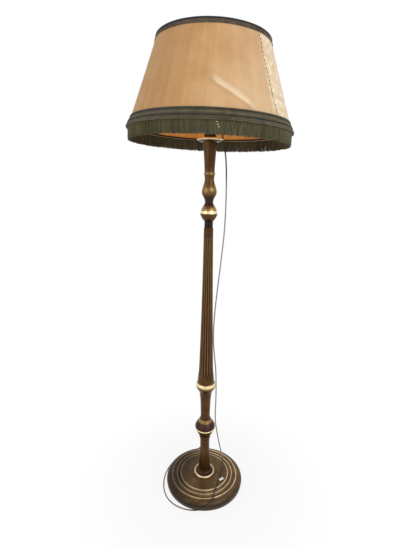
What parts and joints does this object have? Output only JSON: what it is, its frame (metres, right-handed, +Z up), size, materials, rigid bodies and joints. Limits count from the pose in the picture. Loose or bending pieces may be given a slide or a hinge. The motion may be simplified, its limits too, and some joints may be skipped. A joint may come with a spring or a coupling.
{
  "type": "floor lamp",
  "caption": "Candlestick floor lamp: round moulded base, turned pole with a fluted column, fabric empire shade with braid and fringe on a gimbal, and a lead outside the pole.",
  "frame": {"origin": "centre of the base's underside, on the pole's axis, on the floor", "axes": "+Z up along the pole, +X to the right of the picture, +Y away from the camera; the lead's coil and plug lie on the floor at +Y"},
  "size_m": [0.5578, 0.7579, 1.7056],
  "materials": {
    "wood": "bronze-gilt stained and waxed wood, worn on the edges",
    "gilt": "bright gilt over turned wood",
    "felt": "matt wool felt",
    "iron": "rough cast",
    "steel": "zinc-plated steel",
    "brass": "spun brass, dulled",
    "porcelain": "glazed",
    "bakelite": "dark brown, moulded",
    "bulb_glass": "pearl glass",
    "wire": "enamelled wire",
    "cover_fabric": "plain woven shade cloth",
    "lining_fabric": "satin lining",
    "trim": "woven braid",
    "fringe_thread": "twisted thread",
    "rubber": "matt",
    "flex": "round two-core flex",
    "plug": "moulded"
  },
  "bodies": {
    "stand": {"felt_pad": "felt", "iron_weight": "iron", "base_washer": "steel", "base_nut": "steel", "wooden_base": "wood", "foot_ring": "gilt", "lower_turning": "wood", "baluster_turning": "wood", "fluted_column": "wood", "knop_turning": "wood", "vase_turning": "wood", "neck_turning": "wood", "drip_pan": "wood", "candle_cup": "wood", "central_tube": "steel", "lock_washer": "steel", "lock_nut": "steel", "holder_cap": "brass", "holder_barrel": "brass", "holder_core": "porcelain", "plunger_springs": "steel", "lower_clamp_ring": "brass", "upper_clamp_ring": "brass", "flex_relief": "rubber", "cord": "flex", "cord_coil": "flex", "plug_body": "plug", "plug_pins": "brass"},
    "contacts": {"contact_plungers": "brass"},
    "bulb": {"bulb_cap": "brass", "bulb_glass": "bulb_glass", "bulb_stem": "bulb_glass"},
    "switch": {"switch_bar": "bakelite"},
    "gimbal": {"gimbal_washer": "wire"},
    "shade": {"fitter_ring": "wire", "fitter_arms": "wire", "shade_top_ring": "wire", "shade_low_ring": "wire", "shade_struts": "wire", "shade_cover": "cover_fabric", "shade_lining": "lining_fabric", "top_trim": "trim", "bottom_braid": "trim", "fringe": "fringe_thread"}
  },
  "joints": [
    {"name": "shade_turn", "type": "hinge", "parent": "stand", "child": "gimbal", "pos_m": [0, 0, 1.4856], "axis": [0, 0, 1], "continuous": true},
    {"name": "shade_tilt", "type": "hinge", "parent": "gimbal", "child": "shade", "pos_m": [0, 0, 1.4856], "axis": [-0.4909, 0.8712, 0], "range_deg": [-10, 10]},
    {"name": "bulb_push", "type": "slide", "parent": "stand", "child": "contacts", "axis": [0, 0, 1], "range_m": [-0.0025, 0], "stiffness_N_per_m": 1500, "springref_m": 0.002, "deforming": ["plunger_springs"]},
    {"name": "bulb_turn", "type": "hinge", "parent": "contacts", "child": "bulb", "pos_m": [0, 0, 1.4861], "axis": [0, 0, 1], "range_deg": [0, 22]},
    {"name": "switch_push", "type": "slide", "parent": "stand", "child": "switch", "axis": [-0.4226, 0.9063, 0], "range_m": [-0.004, 0.004]}
  ]
}
